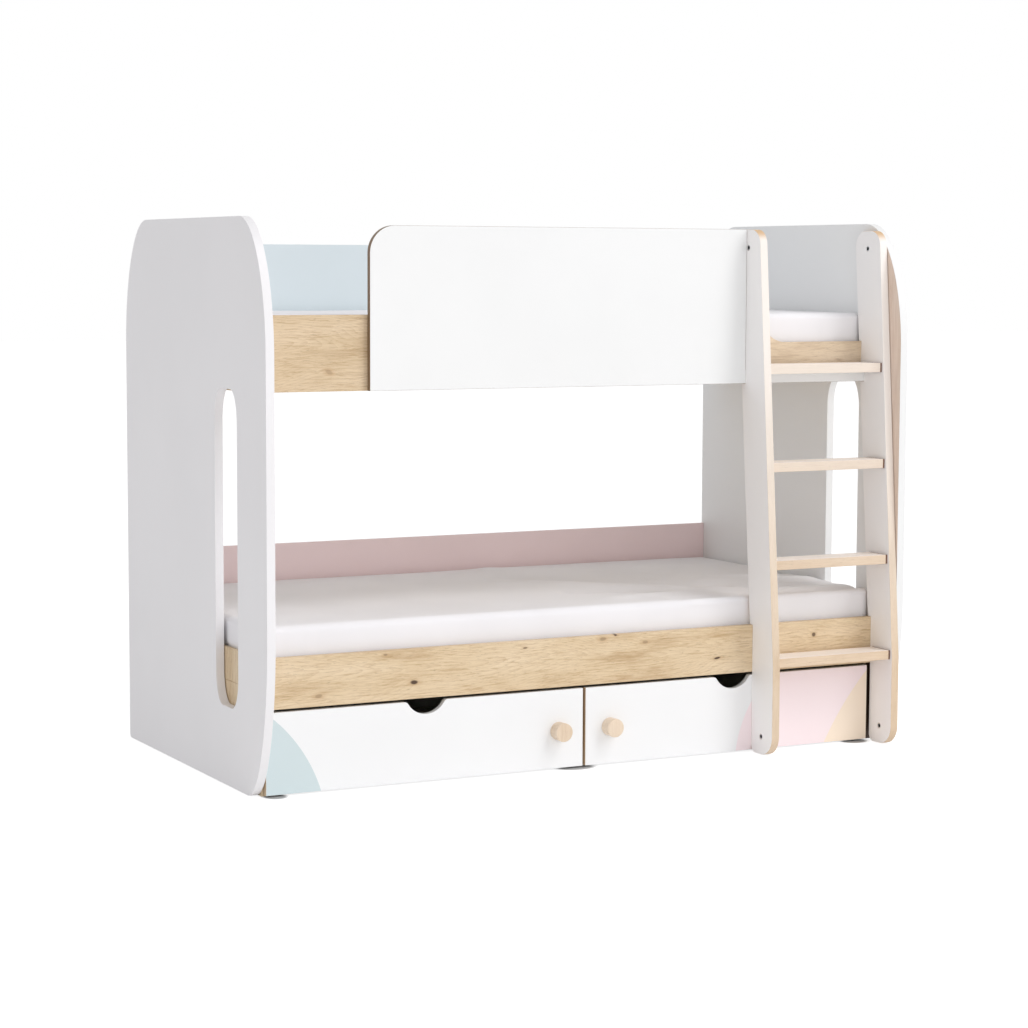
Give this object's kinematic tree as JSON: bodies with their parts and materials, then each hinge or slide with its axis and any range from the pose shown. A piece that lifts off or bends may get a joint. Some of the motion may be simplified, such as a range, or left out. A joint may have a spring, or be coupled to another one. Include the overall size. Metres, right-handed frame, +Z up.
{
  "type": "bunk bed",
  "caption": "Bunk bed with bulged, slotted end panels, a guard panel, a leaning ladder at the entry and pull-out drawers on castors under the lower bunk.",
  "frame": {"origin": "middle of the footprint on the floor, with the ladder in place", "axes": "+X along the bed towards the ladder end, +Y from the front to the wall side, +Z up"},
  "size_m": [2.06, 1.15, 1.57],
  "materials": {
    "white_board": "white laminated board with oak coloured edge bands in places",
    "oak_board": "light oak grain laminated board",
    "tread_oak": "pale oak treads",
    "pink_board": "plain dusty pink laminated board",
    "blue_board": "plain pale blue laminated board",
    "pine": "sawn pine slats and ledgers",
    "grey_board": "thin pale grey hardboard",
    "turned_wood": "turned pale wood, matt varnish",
    "bed_sheet": "off-white fitted sheet over foam",
    "cap_metal": "plated connector",
    "castor_steel": "pressed zinc plated steel",
    "castor_rubber": "dark grey rubber tread"
  },
  "bodies": {
    "bed_frame": {"end_panel_left": "white_board", "end_panel_right": "white_board", "lower_front_rail": "oak_board", "lower_back_panel": "pink_board", "base_board_left": "oak_board", "lower_end_rail_left": "oak_board", "upper_end_rail_left": "oak_board", "base_board_right": "oak_board", "lower_end_rail_right": "oak_board", "upper_end_rail_right": "oak_board", "lower_front_ledger": "pine", "lower_back_ledger": "pine", "lower_slat_base": "pine", "lower_mattress": "bed_sheet", "upper_front_rail": "oak_board", "upper_back_panel": "blue_board", "upper_front_ledger": "pine", "upper_back_ledger": "pine", "upper_slat_base": "pine", "upper_mattress": "bed_sheet", "guard_panel": "white_board"},
    "ladder": {"ladder_side_left": "white_board", "ladder_side_right": "white_board", "connector_cap_left_top": "cap_metal", "connector_cap_left_bottom": "cap_metal", "connector_cap_right_top": "cap_metal", "connector_cap_right_bottom": "cap_metal", "ladder_tread_1": "tread_oak", "ladder_tread_2": "tread_oak", "ladder_tread_3": "tread_oak", "ladder_tread_4": "tread_oak"},
    "drawer_left": {"drawer_left_front": "white_board", "drawer_left_side_left": "white_board", "drawer_left_side_right": "white_board", "drawer_left_back": "white_board", "drawer_left_bottom": "grey_board", "drawer_left_knob": "turned_wood", "drawer_left_bracket_front_left": "castor_steel", "drawer_left_bracket_front_right": "castor_steel", "drawer_left_bracket_back_left": "castor_steel", "drawer_left_bracket_back_right": "castor_steel"},
    "drawer_left_wheel_front_left": {"drawer_left_wheel_front_left": "castor_rubber"},
    "drawer_left_wheel_front_right": {"drawer_left_wheel_front_right": "castor_rubber"},
    "drawer_left_wheel_back_left": {"drawer_left_wheel_back_left": "castor_rubber"},
    "drawer_left_wheel_back_right": {"drawer_left_wheel_back_right": "castor_rubber"},
    "drawer_right": {"drawer_right_front": "white_board", "drawer_right_side_left": "white_board", "drawer_right_side_right": "white_board", "drawer_right_back": "white_board", "drawer_right_bottom": "grey_board", "drawer_right_knob": "turned_wood", "drawer_right_bracket_front_left": "castor_steel", "drawer_right_bracket_front_right": "castor_steel", "drawer_right_bracket_back_left": "castor_steel", "drawer_right_bracket_back_right": "castor_steel"},
    "drawer_right_wheel_front_left": {"drawer_right_wheel_front_left": "castor_rubber"},
    "drawer_right_wheel_front_right": {"drawer_right_wheel_front_right": "castor_rubber"},
    "drawer_right_wheel_back_left": {"drawer_right_wheel_back_left": "castor_rubber"},
    "drawer_right_wheel_back_right": {"drawer_right_wheel_back_right": "castor_rubber"}
  },
  "joints": [
    {"name": "drawer_left_slide", "type": "slide", "parent": "bed_frame", "child": "drawer_left", "axis": [0, -1, 0], "range_m": [0, 0.6]},
    {"name": "ladder_pull", "type": "slide", "parent": "bed_frame", "child": "ladder", "axis": [0, -1, 0], "range_m": [0, 0.8]},
    {"name": "drawer_right_slide", "type": "slide", "parent": "bed_frame", "child": "drawer_right", "axis": [0, -1, 0], "range_m": [0, 0.6]},
    {"name": "drawer_left_wheel_front_left_spin", "type": "hinge", "parent": "drawer_left", "child": "drawer_left_wheel_front_left", "pos_m": [-0.9055, -0.3727, 0.02], "axis": [1, 0, 0], "continuous": true},
    {"name": "drawer_left_wheel_front_right_spin", "type": "hinge", "parent": "drawer_left", "child": "drawer_left_wheel_front_right", "pos_m": [-0.1115, -0.3727, 0.02], "axis": [1, 0, 0], "continuous": true},
    {"name": "drawer_left_wheel_back_left_spin", "type": "hinge", "parent": "drawer_left", "child": "drawer_left_wheel_back_left", "pos_m": [-0.9055, 0.3323, 0.02], "axis": [1, 0, 0], "continuous": true},
    {"name": "drawer_left_wheel_back_right_spin", "type": "hinge", "parent": "drawer_left", "child": "drawer_left_wheel_back_right", "pos_m": [-0.1115, 0.3323, 0.02], "axis": [1, 0, 0], "continuous": true},
    {"name": "drawer_right_wheel_front_left_spin", "type": "hinge", "parent": "drawer_right", "child": "drawer_right_wheel_front_left", "pos_m": [0.0815, -0.3727, 0.02], "axis": [1, 0, 0], "continuous": true},
    {"name": "drawer_right_wheel_front_right_spin", "type": "hinge", "parent": "drawer_right", "child": "drawer_right_wheel_front_right", "pos_m": [0.8755, -0.3727, 0.02], "axis": [1, 0, 0], "continuous": true},
    {"name": "drawer_right_wheel_back_left_spin", "type": "hinge", "parent": "drawer_right", "child": "drawer_right_wheel_back_left", "pos_m": [0.0815, 0.3323, 0.02], "axis": [1, 0, 0], "continuous": true},
    {"name": "drawer_right_wheel_back_right_spin", "type": "hinge", "parent": "drawer_right", "child": "drawer_right_wheel_back_right", "pos_m": [0.8755, 0.3323, 0.02], "axis": [1, 0, 0], "continuous": true}
  ],
  "couplings": [
    {"joint": "drawer_right_slide", "follows": "ladder_pull", "ratio": 0.75},
    {"joint": "drawer_left_wheel_front_left_spin", "follows": "drawer_left_slide", "rad_per_m": 50},
    {"joint": "drawer_left_wheel_front_right_spin", "follows": "drawer_left_slide", "rad_per_m": 50},
    {"joint": "drawer_left_wheel_back_left_spin", "follows": "drawer_left_slide", "rad_per_m": 50},
    {"joint": "drawer_left_wheel_back_right_spin", "follows": "drawer_left_slide", "rad_per_m": 50},
    {"joint": "drawer_right_wheel_front_left_spin", "follows": "ladder_pull", "rad_per_m": 37.5},
    {"joint": "drawer_right_wheel_front_right_spin", "follows": "ladder_pull", "rad_per_m": 37.5},
    {"joint": "drawer_right_wheel_back_left_spin", "follows": "ladder_pull", "rad_per_m": 37.5},
    {"joint": "drawer_right_wheel_back_right_spin", "follows": "ladder_pull", "rad_per_m": 37.5}
  ]
}
